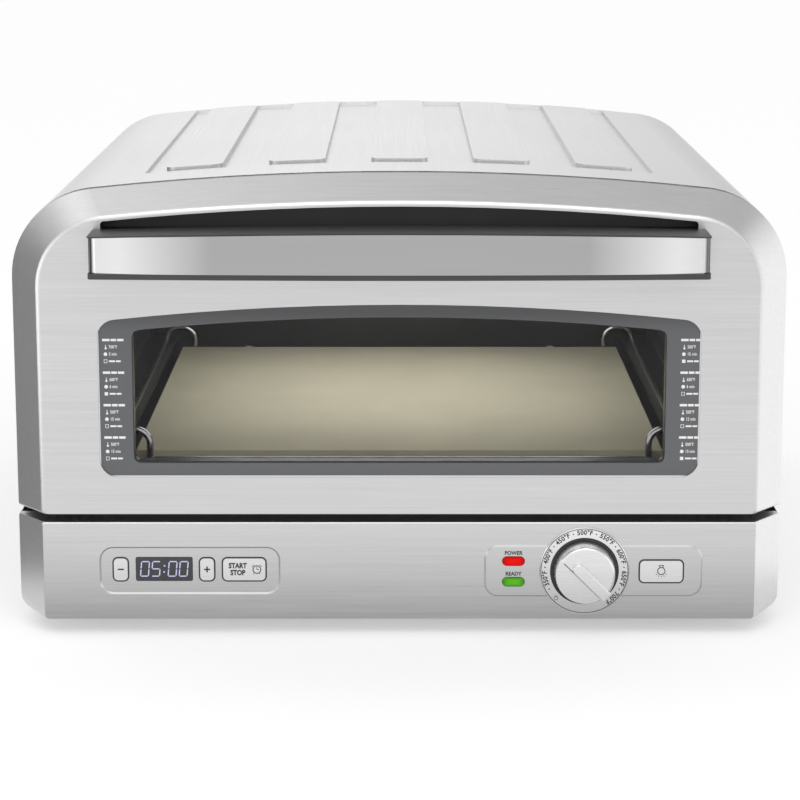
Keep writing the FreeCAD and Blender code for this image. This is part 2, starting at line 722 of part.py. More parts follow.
def wire_rack():
    front_y = stone_front_y - 3.5
    rear_y = stone_rear_y + 3.5
    low_z = stone_bottom - 0.1 - cross_wire_radius
    crown_z = side_wire_z + 9.0
    inner_x = side_wire_x - 20.0
    wires = []
    for y in (front_y, rear_y):
        points = [(-side_wire_x, y, side_wire_z - 0.5), (-side_wire_x, y, crown_z), (-inner_x, y, crown_z),
                  (-inner_x, y, low_z), (inner_x, y, low_z), (inner_x, y, crown_z),
                  (side_wire_x, y, crown_z), (side_wire_x, y, side_wire_z - 0.5)]
        wires.append(bent_tube(points, cross_wire_radius, 8.5))
    for side in (-1, 1):
        wires.append(rod_y(front_y, rear_y, side * side_wire_x, side_wire_z, cross_wire_radius))
    for index in range(-5, 6):
        wires.append(rod_y(front_y, rear_y, index * 26, stone_bottom - 0.1 - thin_wire_radius,
                           thin_wire_radius))
    wires.append(rod_x(-inner_x, inner_x, front_y, stone_bottom + 3.2, thin_wire_radius))
    return joined(wires)


# ---------------------------------------------------------------- controls

def key(outline, surface):
    """Push button: cap through the fascia, wider flange behind it and a stem to the switch."""
    cap = rounded_block(outline, 2.4, surface - key_proud, face_y + fascia_sheet + 1.5)
    flange = rounded_block(outline, 2.4, face_y + fascia_sheet + 0.1, face_y + fascia_sheet + 1.5,
                           key_gap + 0.9)
    stem = rod_y(face_y + 2, board_front_y - 9.5, outline[0], outline[1], 2.0)
    return joined([cap, flange, stem])


def key_switch(outline):
    x, z = outline[0], outline[1]
    body = block(x - 3, x + 3, board_front_y - 3.7, board_front_y - 0.05, z - 3, z + 3)
    return body.fuse(rod_y(board_front_y - 8.2, board_front_y - 3, x, z, 1.6))


def dial_ring():
    """Flat scale ring with a chamfered edge."""
    body = rod_y(face_y - 1.6, face_y - 0.05, dial_x, dial_z, dial_radius)
    body = body.makeChamfer(0.5, [edge for edge in body.Edges if edge.BoundBox.YMax < face_y - 1.5])
    return body.cut(rod_y(face_y - 3, face_y + 1, dial_x, dial_z, well_radius))


def dial_well():
    """Dark disc that fills the gap between the scale ring and the knob."""
    disc = rod_y(face_y - 0.75, face_y - 0.05, dial_x, dial_z, well_radius - 0.05)
    return disc.cut(rod_y(face_y - 2, face_y + 1, dial_x, dial_z, 5.0))


def knob():
    """Round knob: a raised grip bar that runs off one side, and a face stepped down along the bar."""
    rear, face, front = face_y - 1.9, face_y - 12.2, face_y - 15.0
    body = Part.makeCone(knob_radius, knob_radius - 0.9, rear - face, vec(0, rear, 0), vec(0, -1, 0))
    edge = [edge for edge in body.Edges if edge.BoundBox.YMax < face + 0.1]
    body = body.makeFillet(1.6, edge)
    lower_half = block(-knob_radius - 1, knob_radius + 1, face - 1, face + 2.2,
                       -knob_radius - 1, -grip_half_thickness)
    body = body.cut(lower_half)
    bar = block(-9.0, knob_radius + 2, front, face + 4.0, -grip_half_thickness, grip_half_thickness)
    ends = [edge for edge in bar.Edges if edge.BoundBox.XMax < -8.9 and edge.BoundBox.YLength > 3]
    bar = bar.makeFillet(grip_half_thickness - 0.2, ends)
    top_edges = [edge for edge in bar.Edges
                 if edge.BoundBox.YMax < front + 0.1 and edge.BoundBox.XMin < knob_radius]
    bar = bar.makeFillet(0.6, top_edges)
    bar = bar.common(rod_y(front - 1, rear + 1, 0, 0, knob_radius - 0.8))
    body = body.fuse(bar)
    body.rotate(vec(0, 0, 0), vec(0, 1, 0), 45)
    body.translate(vec(dial_x, 0, dial_z))
    return body.cut(rod_y(face_y - 9.0, rear + 1, dial_x, dial_z, 3.02))


def selector():
    body = block(dial_x - 8, dial_x + 8, board_front_y - 6.5, board_front_y - 0.05, dial_z - 8, dial_z + 8)
    body = body.fuse(rod_y(face_y - 0.2, board_front_y - 6, dial_x, dial_z, 4.4))
    return body.cut(rod_y(face_y - 1, board_front_y - 3, dial_x, dial_z, 3.05))


def board_posts():
    posts = []
    for x in (-180, 0, 180):
        for z in (20, 60):
            posts.append(rod_y(face_y + fascia_sheet + 0.1, board_front_y - 0.05, x, z, 3.0))
    return group(posts)


save("base_fascia", base_fascia())
save("base_skirt", base_skirt())
save("base_pan", base_pan())
save("deck", deck())
save("feet", group([foot(x, y) for x, y in foot_places]))
save("foot_screws", group([foot_screw(x, y) for x, y in foot_places]))

save("top_cover", top_cover())
save("back_panel", back_panel())
save("rear_spacers", group([rod_y(226.3, back_y, x, z, 9.0) for x, z in spacer_places]))
save("panel_screws", group([rod_y(226.25, 228.2, x, z, 3.6).fuse(rod_y(216, 227, x, z, 1.8))
                            for x, z in screw_places]))
save("front_frame", front_frame())
save("cavity_liner", cavity_liner())
save("insulation", insulation())
save("rack_rails", group(mirrored(rack_rail())))
save("upper_heater", heater(upper_heater_z))
save("lower_heater", heater(lower_heater_z))
clip_z = upper_heater_z + heater_radius + 0.2
save("heater_clips", group([heater_clip(y, clip_z, liner_roof - 0.1) for y in (-90, 90)]))
save("heater_bushes", group([ceramic_bush(side * 110, z) for side in (-1, 1)
                             for z in (upper_heater_z, lower_heater_z)]))
save("temperature_probe", rod_y(110, 203, probe_x, probe_z, 2.5).fuse(
    rod_y(liner_rear_y + 1.1, 196, probe_x, probe_z, 6.0)))
save("thermal_cutout", rod_y(liner_rear_y + 1.1, 203, -60, 150, 8.5))
lamp_lens, lamp_can, lamp_bulb = lamp_parts()
save("lamp_lens", lamp_lens)
save("lamp_can", lamp_can)
save("lamp_bulb", lamp_bulb)
save("hinge_lugs", group(mirrored(hinge_lug())))

save("door_shell", door_shell())
save("grip_pocket", grip_pocket())
save("handle_strip", handle_strip())
save("handle_core", handle_core())
save("handle_screws", group([rod_y(face_y - 18, face_y + 3, side * 160, 223.5, 2.0).fuse(
    rod_y(face_y + sheet + 0.05, face_y + 3.8, side * 160, 223.5, 3.8)) for side in (-1, 1)]))
save("outer_glass", outer_glass())
save("glass_spacer", glass_spacer())
save("inner_glass", inner_glass())
save("door_inner_panel", door_inner_panel())
save("door_screws", group([door_screw(x, z) for x, z in door_screw_places]))
save("hinge_ears", group(mirrored(hinge_ears())))
save("hinge_pins", group(mirrored(hinge_pin())))

save("wire_rack", wire_rack())
save("pizza_stone", block(-stone_width / 2, stone_width / 2, stone_front_y, stone_rear_y,
                          stone_bottom, stone_top))

save("minus_key", key(minus_key, sunk_surface))
save("plus_key", key(plus_key, sunk_surface))
save("start_key", key(start_key, sunk_surface))
save("lamp_key", key(lamp_key, raised_surface))
save("key_switches", group([key_switch(outline) for outline in (minus_key, plus_key, start_key, lamp_key)]))
save("display_window", rounded_block(display, 1.2, sunk_surface + 0.1, face_y + 1.9, -0.1))
save("display_module", rounded_block(display, 1.2, face_y + 2.0, board_front_y - 0.05, 0.5))
save("red_indicator", obround(red_lens, raised_surface - 0.5, board_front_y - 0.05, -0.05))
save("green_indicator", obround(green_lens, raised_surface - 0.5, board_front_y - 0.05, -0.05))
save("dial_ring", dial_ring())
save("dial_well", dial_well())
save("knob", knob())
save("knob_shaft", rod_y(face_y - 8.8, board_front_y - 3.5, dial_x, dial_z, 3.0))
save("selector", selector())
save("control_board", block(-186, 186, board_front_y, board_front_y + 1.6, 16.5, 63.0))
save("board_posts", board_posts())
save("power_board", block(10, 120, 70, 190, 22.0, 23.6))
save("relays", group([block(x, x + 20, 90, 105, 23.7, 40) for x in (25, 60, 90)]))
save("transformer", block(-60, -10, 110, 150, 15.0, 50.0))
save("terminal_block", block(134, 166, 180, 205, 25.0, 45.0))
gland = rod_y(216, 229, cord_x, cord_z, 8.0).fuse(rod_y(226.1, 229, cord_x, cord_z, 10.5))
save("cord_gland", gland.cut(rod_y(215, 230, cord_x, cord_z, 3.8)))
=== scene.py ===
import math

import bmesh
import bpy
from mathutils import Matrix, Vector


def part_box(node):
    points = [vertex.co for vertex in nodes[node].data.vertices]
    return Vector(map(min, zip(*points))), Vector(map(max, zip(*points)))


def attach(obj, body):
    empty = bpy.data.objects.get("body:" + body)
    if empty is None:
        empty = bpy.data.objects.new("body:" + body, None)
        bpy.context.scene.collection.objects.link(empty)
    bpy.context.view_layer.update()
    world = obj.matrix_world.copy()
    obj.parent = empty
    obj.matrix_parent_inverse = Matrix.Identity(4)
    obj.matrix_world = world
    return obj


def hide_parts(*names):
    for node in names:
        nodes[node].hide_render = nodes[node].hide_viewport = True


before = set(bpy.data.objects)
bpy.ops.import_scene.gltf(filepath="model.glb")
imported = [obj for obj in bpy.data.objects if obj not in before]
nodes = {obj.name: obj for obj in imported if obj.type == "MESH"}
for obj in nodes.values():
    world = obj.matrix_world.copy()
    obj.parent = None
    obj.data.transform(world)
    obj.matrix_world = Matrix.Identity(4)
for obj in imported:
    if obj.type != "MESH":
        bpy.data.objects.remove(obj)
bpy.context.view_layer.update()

scene = bpy.context.scene
scene.view_settings.view_transform = "Standard"
scene.view_settings.look = "None"
mm = 0.001
print("frame loaded:", len(nodes), "parts")


# a shader socket that takes part in plain expressions
class Wire:
    def __init__(self, graph, socket):
        self.graph = graph
        self.socket = socket

    def maths(self, operation, *values):
        return self.graph.add("Math", {"operation": operation}, dict(enumerate(values)))

    def __add__(self, other):
        return self.maths("ADD", self, other)

    def __radd__(self, other):
        return self.maths("ADD", other, self)

    def __sub__(self, other):
        return self.maths("SUBTRACT", self, other)

    def __rsub__(self, other):
        return self.maths("SUBTRACT", other, self)

    def __mul__(self, other):
        return self.maths("MULTIPLY", self, other)

    def __rmul__(self, other):
        return self.maths("MULTIPLY", other, self)

    def __pow__(self, other):
        return self.maths("POWER", self, other)

    def __abs__(self):
        return self.maths("ABSOLUTE", self)

    def clamped(self):
        return self.graph.add("Clamp", None, {"Value": self})

    def above(self, edge, soft):  # 0 below the edge, 1 above it, over a short ramp
        return ((self - edge) * (1 / soft) + 0.5).clamped()


class Graph:
    def __init__(self, tree):
        self.tree = tree
        self.tree.nodes.clear()

    def add(self, kind, settings=None, inputs=None, output=0):
        node = self.tree.nodes.new("ShaderNode" + kind)
        for key, value in (settings or {}).items():
            if key == "stops":
                ramp = node.color_ramp
                while len(ramp.elements) < len(value):
                    ramp.elements.new(1.0)
                for element, (place, colour) in zip(ramp.elements, value):
                    element.position = place
                    element.color = (*colour, 1.0) if len(colour) == 3 else colour
            else:
                setattr(node, key, value)
        for key, value in (inputs or {}).items():
            if isinstance(value, Wire):
                self.tree.links.new(value.socket, node.inputs[key])
            else:
                node.inputs[key].default_value = value
        return Wire(self, node.outputs[output]) if len(node.outputs) else None

    def place(self, scale=(1, 1, 1), shift=(0, 0, 0), turn=(0, 0, 0)):
        where = self.add("TexCoord", None, None, "Object")
        return self.add("Mapping", None, {"Vector": where, "Location": shift, "Rotation": turn,
                                          "Scale": scale})

    def axes(self, where=None):
        where = where or self.add("TexCoord", None, None, "Object")
        split = self.add("SeparateXYZ", None, {"Vector": where})
        outputs = split.socket.node.outputs
        return [Wire(self, outputs[index]) for index in range(3)]

    def noise(self, where, scale=1.0, detail=2.0, roughness=0.5):
        return self.add("TexNoise", None, {"Vector": where, "Scale": scale, "Detail": detail,
                                           "Roughness": roughness}, "Fac")

    def cells(self, where, scale, output="Distance"):
        return self.add("TexVoronoi", None, {"Vector": where, "Scale": scale}, output)

    def between(self, factor, first, second):  # colour mix, from plain colours or sockets
        first, second = [(*c, 1.0) if isinstance(c, tuple) else c for c in (first, second)]
        return self.add("Mix", {"data_type": "RGBA"}, {0: factor, 6: first, 7: second}, 2)

    def bump(self, height, strength, distance):
        return self.add("Bump", None, {"Height": height, "Strength": strength, "Distance": distance})

    def surface(self, inputs):
        for key, value in inputs.items():
            if isinstance(value, tuple) and len(value) == 3:
                inputs[key] = (*value, 1.0)
        shader = self.add("BsdfPrincipled", None, inputs)
        self.add("OutputMaterial", None, {"Surface": shader})


def newFinish(name):
    material = bpy.data.materials.new(name)
    material.use_nodes = True
    return material, Graph(material.node_tree)


def grey(value):
    return (value, value, value)


def brushedFinish(name, look):
    material, graph = newFinish(name)
    long, fine = look["streakLong"], look["streakFine"]
    across = (long, fine, fine) if look["along"] == "x" else (fine, long, fine)
    streak = graph.noise(graph.place(across), 1.0, 3.0, 0.6)
    broad = graph.noise(graph.place([a * 0.22 for a in across], (3, 5, 7)), 1.0, 2.0)
    if look["along"] == "x":  # side walls are brushed front to back
        normal = graph.add("NewGeometry", None, None, "Normal")
        sideways = abs(graph.axes(normal)[0]).above(0.85, 0.1)
        sideStreak = graph.noise(graph.place((fine, long, fine)), 1.0, 3.0, 0.6)
        streak = streak + (sideStreak - streak) * sideways
    cloud = graph.noise(graph.place((9, 9, 9), (1, 2, 3)), 1.0, 2.0)
    tone = ((streak - 0.5) * look["contrast"] + (broad - 0.5) * look["contrast"] * 0.3
            + (cloud - 0.5) * 0.15 + 0.5).clamped()
    low = tuple(c * (1 - look["swing"]) for c in look["colour"])
    high = tuple(min(1.0, c * (1 + look["swing"])) for c in look["colour"])
    colour = graph.between(tone, low, high)
    if "ends" in look:  # painted highlight brighter towards both ends, painted shade dark at the very tips
        x, y, z = graph.axes()
        ends = abs(x).above(look["ends"]["from"], look["ends"]["over"])
        shadedTips = abs(x).above(look["shadedTips"]["from"], look["shadedTips"]["over"])
        colour = graph.between(ends, colour, look["ends"]["colour"])
        colour = graph.between(shadedTips, colour, look["shadedTips"]["colour"])
    if "paintedGapShade" in look:  # painted shade: the gap behind the door's sloping rim, darkened on the steel
        x, y, z = graph.axes()
        dark = look["paintedGapShade"]
        edge = y.above(dark["behind"], dark["soft"]) * z.above(dark["over"], dark["soft"])
        colour = graph.between(edge, colour, dark["colour"])
    roughness = (streak - 0.5) * 0.16 + (cloud - 0.5) * 0.06 + look["rough"]
    graph.surface({"Base Color": colour, "Metallic": 1.0, "Roughness": roughness,
                   "Normal": graph.bump(streak, look["bump"], 0.00004)})
    return material


# streaks run along x or y; the painted highlight at the ends, the painted shade at the tips and the painted
# gap shade behind the rim are places in the object's own frame
steelLooks = {
    "brushed_steel": {"colour": (0.60, 0.60, 0.603), "rough": 0.31, "along": "x", "streakLong": 16.0,
                      "streakFine": 1500.0, "contrast": 1.7, "swing": 0.07, "bump": 0.12,
                      # painted shade behind the door's rim
                      "paintedGapShade": {"behind": -192.8 * mm, "over": 80.0 * mm, "soft": 0.3 * mm,
                                   "colour": grey(0.05)}},
    "cover_steel": {"colour": (0.72, 0.72, 0.723), "rough": 0.30, "along": "y", "streakLong": 9.0,
                    "streakFine": 1300.0, "contrast": 1.0, "swing": 0.04, "bump": 0.05},
    "handle_steel": {"colour": (0.40, 0.40, 0.403), "rough": 0.16, "along": "x", "streakLong": 12.0,
                     "streakFine": 1400.0, "contrast": 1.2, "swing": 0.05, "bump": 0.10,
                     # ends: painted highlight; tips: painted shade
                     "ends": {"from": 128.0 * mm, "over": 50.0 * mm, "colour": grey(0.80)},
                     "shadedTips": {"from": 166.8 * mm, "over": 2.0 * mm, "colour": grey(0.12)}},
    "key_metal": {"colour": (0.78, 0.78, 0.783), "rough": 0.30, "along": "x", "streakLong": 14.0,
                  "streakFine": 1300.0, "contrast": 1.2, "swing": 0.05, "bump": 0.14},
    "dial_metal": {"colour": (0.74, 0.74, 0.743), "rough": 0.20, "along": "x", "streakLong": 20.0,
                   "streakFine": 1500.0, "contrast": 0.8, "swing": 0.04, "bump": 0.06},
    "knob_metal": {"colour": (0.76, 0.76, 0.76), "rough": 0.28, "along": "x", "streakLong": 30.0,
                   "streakFine": 1200.0, "contrast": 1.4, "swing": 0.05, "bump": 0.16},
}


def plainMetalFinish(name, look):
    material, graph = newFinish(name)
    patch = graph.noise(graph.place(), look["patch"], 3.0, 0.6)
    fine = graph.noise(graph.place(), look["patch"] * 14, 2.0)
    tone = ((patch - 0.5) * 1.8 + 0.5).clamped()
    graph.surface({"Base Color": graph.between(tone, look["dark"], look["light"]),
                   "Metallic": look["metallic"], "Roughness": (fine - 0.5) * 0.2 + look["rough"],
                   "Normal": graph.bump(fine, look["bump"], 0.0001)})
    return material


plainMetals = {
    "screw_steel": {"dark": grey(0.42), "light": grey(0.58), "metallic": 1.0, "rough": 0.32,
                    "patch": 220, "bump": 0.1},
    "wire_chrome": {"dark": grey(0.50), "light": grey(0.66), "metallic": 1.0, "rough": 0.22,
                    "patch": 90, "bump": 0.05},
    "heater_sheath": {"dark": (0.045, 0.042, 0.04), "light": (0.14, 0.12, 0.11), "metallic": 0.7,
                      "rough": 0.5, "patch": 120, "bump": 0.25},
    "spacer_metal": {"dark": grey(0.16), "light": grey(0.24), "metallic": 0.9, "rough": 0.38,
                     "patch": 60, "bump": 0.1},
}


def galvanisedFinish():
    look = {"spangle": 250.0, "dark": (0.46, 0.47, 0.48), "light": (0.57, 0.58, 0.59)}
    material, graph = newFinish("galvanised")
    flake = graph.cells(graph.place(), look["spangle"], "Color")
    value = graph.axes(flake)[0]
    fine = graph.noise(graph.place(), 900.0, 2.0)
    graph.surface({"Base Color": graph.between(value, look["dark"], look["light"]), "Metallic": 0.95,
                   "Roughness": value * 0.10 + 0.36, "Normal": graph.bump(fine, 0.08, 0.0001)})
    return material


def grainFinish(name, look):
    material, graph = newFinish(name)
    patch = graph.noise(graph.place(), look["patch"], 3.0, 0.55)
    grain = graph.noise(graph.place(), look["grain"], 3.0, 0.6)
    tone = ((patch - 0.5) * 1.2 + (grain - 0.5) * 0.8 + 0.5).clamped()
    inputs = {"Base Color": graph.between(tone, look["dark"], look["light"]),
              "Roughness": (grain - 0.5) * 0.2 + look["rough"],
              "Normal": graph.bump(grain, look["bump"], look["depth"])}
    inputs.update(look.get("also", {}))
    graph.surface(inputs)
    return material


grains = {
    "dark_trim": {"dark": grey(0.022), "light": grey(0.036), "rough": 0.5, "patch": 60, "grain": 1800,
                  "bump": 0.2, "depth": 0.0001},
    "grip_plastic": {"dark": grey(0.030), "light": grey(0.042), "rough": 0.42, "patch": 40, "grain": 2200,
                     "bump": 0.16, "depth": 0.0001},
    "rubber": {"dark": grey(0.014), "light": grey(0.026), "rough": 0.75, "patch": 80, "grain": 900,
               "bump": 0.3, "depth": 0.0002},
    "insulation_wool": {"dark": (0.50, 0.46, 0.36), "light": (0.78, 0.74, 0.62), "rough": 0.95,
                        "patch": 90, "grain": 420, "bump": 0.9, "depth": 0.001},
    "ceramic": {"dark": (0.70, 0.68, 0.63), "light": (0.84, 0.82, 0.78), "rough": 0.55, "patch": 120,
                "grain": 1200, "bump": 0.15, "depth": 0.0001},
    "relay_plastic": {"dark": (0.03, 0.05, 0.11), "light": (0.05, 0.08, 0.16), "rough": 0.45, "patch": 90,
                      "grain": 1500, "bump": 0.1, "depth": 0.0001},
}


def enamelFinish():
    look = {"dark": (0.040, 0.039, 0.037), "light": (0.085, 0.083, 0.080), "fleck": (0.30, 0.29, 0.28),
            "fleckScale": 620.0, "rough": 0.32}
    material, graph = newFinish("chamber_enamel")
    patch = graph.noise(graph.place(), 14.0, 3.0, 0.6)
    dot = graph.cells(graph.place(), look["fleckScale"])
    fleck = 1 - dot.above(0.16, 0.08)
    body = graph.between(patch, look["dark"], look["light"])
    wave = graph.noise(graph.place(), 240.0, 2.0)
    graph.surface({"Base Color": graph.between(fleck * 0.5, body, look["fleck"]),
                   "Roughness": (patch - 0.5) * 0.2 + look["rough"], "Coat Weight": 0.3,
                   "Coat Roughness": 0.12, "Normal": graph.bump(wave, 0.1, 0.0003)})
    return material


def stoneFinish():
    look = {"dark": (0.47, 0.435, 0.315), "light": (0.63, 0.585, 0.44), "spot": (0.27, 0.25, 0.19),
            "grain": 900.0, "rough": 0.88}
    material, graph = newFinish("stone")
    patch = graph.noise(graph.place(), 16.0, 4.0, 0.6)
    grain = graph.noise(graph.place(), look["grain"], 4.0, 0.7)
    pore = 1 - graph.cells(graph.place(), 380.0).above(0.10, 0.08)
    tone = ((patch - 0.5) * 0.9 + (grain - 0.5) * 1.5 + 0.5).clamped()
    body = graph.between(tone, look["dark"], look["light"])
    graph.surface({"Base Color": graph.between(pore * 0.6, body, look["spot"]),
                   "Roughness": look["rough"], "Specular IOR Level": 0.25,
                   "Normal": graph.bump(grain - pore * 0.6, 0.5, 0.0004)})
    return material


def windowMask(graph, look):  # 1 inside the clear pane, 0 on the printed border
    x, y, z = graph.axes()
    crown = look["crest"] - (x * x) * (0.5 / look["archRadius"])
    over = z - crown
    under = look["bottom"] - z
    beside = abs(x) - look["halfWidth"]
    tall = over.maths("MAXIMUM", over, under)
    edge = tall.maths("SMOOTH_MAX", tall, beside, look["corner"])
    return 1 - edge.above(0.0, look["soft"])


paneLook = {"halfWidth": 150.0 * mm, "bottom": 101.0 * mm, "crest": 184.6 * mm,
            "archRadius": 1500.0 * mm, "corner": 7.0 * mm, "soft": 0.25 * mm,
            "border": (0.095, 0.097, 0.104), "grain": 0.07, "glass": (0.01, 0.012, 0.012),
            # band: painted shade along the top of the border
            "bandFrom": 182.0 * mm, "bandOver": 10.0 * mm, "bandShare": 0.6, "paintedShadeTone": grey(0.035)}

# painted highlight: a bright band down the sides of the glass and below it, standing in for the glint on the
# steel's rolled edge
paintedEdgeGlintLook = {"halfWidth": 168.6 * mm, "bottom": 93.6 * mm, "crest": 240.0 * mm,
            "archRadius": 1500.0 * mm, "corner": 9.0 * mm, "soft": 0.25 * mm, "colour": grey(0.80)}


def printedGlassFinish():
    material, graph = newFinish("printed_glass")
    clear = windowMask(graph, paneLook)
    ink = graph.noise(graph.place(), 1400.0, 2.0)
    border = graph.between(ink, tuple(c * (1 - paneLook["grain"]) for c in paneLook["border"]),
                           tuple(c * (1 + paneLook["grain"]) for c in paneLook["border"]))
    height = graph.axes()[2]  # painted shade: the border darker above the pane, under the handle
    band = height.above(paneLook["bandFrom"], paneLook["bandOver"]) * paneLook["bandShare"]
    border = graph.between(band, border, paneLook["paintedShadeTone"])
    # painted highlight of the rolled steel edge
    border = graph.between(1 - windowMask(graph, paintedEdgeGlintLook), border, paintedEdgeGlintLook["colour"])
    graph.surface({"Base Color": graph.between(clear, border, paneLook["glass"]),
                   "Roughness": 0.24 - clear * 0.2, "Alpha": 1 - clear * 0.93, "IOR": 1.5,
                   "Specular IOR Level": 0.6})
    return material


def clearGlassFinish(name, look):
    material, graph = newFinish(name)
    haze = graph.noise(graph.place(), look["haze"], 3.0)
    graph.surface({"Base Color": graph.between(haze, look["dark"], look["light"]),
                   "Roughness": haze * 0.04 + look["rough"],
                   "Alpha": haze * 0.03 + look["alpha"], "IOR": 1.5})
    return material


clearGlasses = {
    "clear_glass": {"dark": (0.008, 0.010, 0.010), "light": (0.02, 0.022, 0.022), "haze": 22,
                    "rough": 0.02, "alpha": 0.06},
    "lamp_glass": {"dark": (0.60, 0.58, 0.52), "light": (0.75, 0.73, 0.68), "haze": 60,
                   "rough": 0.10, "alpha": 0.35},
    "display_glass": {"dark": (0.040, 0.040, 0.046), "light": (0.052, 0.052, 0.060), "haze": 30,
                      "rough": 0.12, "alpha": 0.90},
}


def lensFinish(name, look):  # lit lens: brighter through the middle, fine moulded ribs
    material, graph = newFinish(name)
    x, y, z = graph.axes()
    low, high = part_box(look["node"])
    middle = (low + high) / 2
    along = abs(x - middle.x) * (2 / (high.x - low.x))
    across = abs(z - middle.z) * (2 / (high.z - low.z))
    centre = (1 - along.maths("MAXIMUM", along, across) ** 2.5).clamped()
    rib = graph.add("TexWave", {"wave_type": "BANDS", "bands_direction": "X"},
                    {"Vector": graph.place(), "Scale": 330.0, "Distortion": 0.0}, "Fac")
    glow = graph.between((centre * 0.8 + rib * 0.2).clamped(), look["rim"], look["core"])
    graph.surface({"Base Color": glow, "Roughness": 0.35, "Specular IOR Level": 0.06,
                   "Emission Color": glow, "Emission Strength": look["power"],
                   "Normal": graph.bump(rib, 0.15, 0.0002)})
    return material


lenses = {
    "red_lens": {"node": "red_indicator", "rim": (0.26, 0.002, 0.002),
                 "core": (0.74, 0.004, 0.002), "power": 0.16},
    "green_lens": {"node": "green_indicator", "rim": (0.012, 0.10, 0.006),
                   "core": (0.10, 0.40, 0.022), "power": 0.16},
}


def boardFinish():
    material, graph = newFinish("circuit_board")
    track = graph.add("TexBrick", None, {
        "Vector": graph.place(turn=(math.radians(90), 0, 0)), "Scale": 60.0, "Mortar Size": 0.03,
        "Color1": (0.01, 0.10, 0.04, 1), "Color2": (0.012, 0.12, 0.05, 1), "Mortar": (0.03, 0.2, 0.08, 1)},
        "Color")
    fine = graph.noise(graph.place(), 700.0)
    graph.surface({"Base Color": track, "Roughness": fine * 0.15 + 0.35})
    return material


def inkFinish(name, look):
    material, graph = newFinish(name)
    speck = graph.noise(graph.place(), 1600.0, 2.0)
    colour = graph.between(speck, look["dark"], look["light"])
    graph.surface({"Base Color": colour, "Roughness": 0.5, "Emission Color": colour,
                   "Emission Strength": look["power"]})
    return material


inks = {
    "darkInk": {"dark": grey(0.012), "light": grey(0.022), "power": 0.0},
    # the pale print gives off a faint painted glow, though it is no lamp
    "paleInkWithGlow": {"dark": grey(0.62), "light": grey(0.74), "power": 0.12},
    "digitGlow": {"dark": (0.30, 0.31, 0.45), "light": (0.38, 0.39, 0.54), "power": 0.60},
}

finishes = {}
for name, look in steelLooks.items():
    finishes[name] = brushedFinish(name, look)
for name, look in plainMetals.items():
    finishes[name] = plainMetalFinish(name, look)
for name, look in grains.items():
    finishes[name] = grainFinish(name, look)
for name, look in clearGlasses.items():
    finishes[name] = clearGlassFinish(name, look)
for name, look in lenses.items():
    finishes[name] = lensFinish(name, look)
for name, look in inks.items():
    finishes[name] = inkFinish(name, look)
finishes["galvanised"] = galvanisedFinish()
finishes["chamber_enamel"] = enamelFinish()
finishes["stone"] = stoneFinish()
finishes["printed_glass"] = printedGlassFinish()
finishes["circuit_board"] = boardFinish()
for node in nodes.values():
    for place in node.material_slots:
        place.material = finishes[place.material.name.split(".")[0]]
print("finishes made:", len(finishes))


def addPiece(name, shape, finish, body, smooth=None):
    mesh = bpy.data.meshes.new(name)
    shape.to_mesh(mesh)
    shape.free()
    mesh.materials.append(finishes[finish])
    if smooth is not None:
        mesh.shade_smooth()
        mesh.set_sharp_from_angle(angle=math.radians(smooth))
    piece = bpy.data.objects.new(name, mesh)
    scene.collection.objects.link(piece)
    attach(piece, body)
    return piece


def facing(x, y, z, turn=0.0):  # from the flat XY plane to an upright plane that faces the front
    return (Matrix.Translation((x, y, z)) @ Matrix.Rotation(-turn, 4, "Y")
            @ Matrix.Rotation(math.radians(90), 4, "X"))


def addBar(shape, start, end, width, y):
    (x0, z0), (x1, z1) = start, end
    length = math.hypot(x1 - x0, z1 - z0)
    turn = math.atan2(z1 - z0, x1 - x0)
    stretch = Matrix.Diagonal((length, width, 1, 1))
    bmesh.ops.create_grid(shape, x_segments=1, y_segments=1, size=0.5,
                          matrix=facing((x0 + x1) / 2, y, (z0 + z1) / 2, turn) @ stretch)


def addDot(shape, x, z, radius, y, segments=16):
    bmesh.ops.create_circle(shape, cap_ends=True, segments=segments, radius=radius, matrix=facing(x, y, z))


def addHoop(shape, x, z, radius, width, y, segments=28, stretch=1.0):
    loops = []
    for reach in (radius, radius - width):
        tall = Matrix.Diagonal((1, stretch, 1, 1))
        made = bmesh.ops.create_circle(shape, cap_ends=False, segments=segments, radius=reach,
                                       matrix=facing(x, y, z) @ tall)
        loops += list({edge for vert in made["verts"] for edge in vert.link_edges})
    bmesh.ops.bridge_loops(shape, edges=loops)


def addWords(shape, words, x, z, height, y, turn=0.0, narrow=1.0, align="CENTER", bold=0.03):
    curve = bpy.data.curves.new("words", "FONT")
    curve.body = words
    curve.size = height / 0.72
    curve.align_x = align
    curve.align_y = "CENTER"
    curve.resolution_u = 3
    curve.offset = height * bold
    holder = bpy.data.objects.new("words", curve)
    scene.collection.objects.link(holder)
    bpy.context.view_layer.update()
    mesh = bpy.data.meshes.new_from_object(holder)
    mesh.transform(facing(x, y, z, turn) @ Matrix.Diagonal((narrow, 1, 1, 1)))
    shape.from_mesh(mesh)
    bpy.data.meshes.remove(mesh)
    bpy.data.objects.remove(holder)
    bpy.data.curves.remove(curve)


def mergeInto(shape, one):  # one finished mesh joins the others in its piece
    mesh = bpy.data.meshes.new("one")
    one.to_mesh(mesh)
    one.free()
    shape.from_mesh(mesh)
    bpy.data.meshes.remove(mesh)


def thickenPrint(shape, thickness):  # a flat print becomes a thin closed layer
    bmesh.ops.remove_doubles(shape, verts=shape.verts, dist=0.000002)
    front = list(shape.faces)
    made = bmesh.ops.extrude_face_region(shape, geom=front, use_keep_orig=True)
    moved = [item for item in made["geom"] if isinstance(item, bmesh.types.BMVert)]
    bmesh.ops.translate(shape, verts=moved, vec=(0, thickness, 0))
    bmesh.ops.recalc_face_normals(shape, faces=shape.faces)


inkDepth = {"proud": 0.03 * mm, "thick": 0.05 * mm}  # a print's back lies just inside its surface


def addPrint(name, shape, finish, body):
    thickenPrint(shape, inkDepth["thick"])
    return addPiece(name, shape, finish, body)


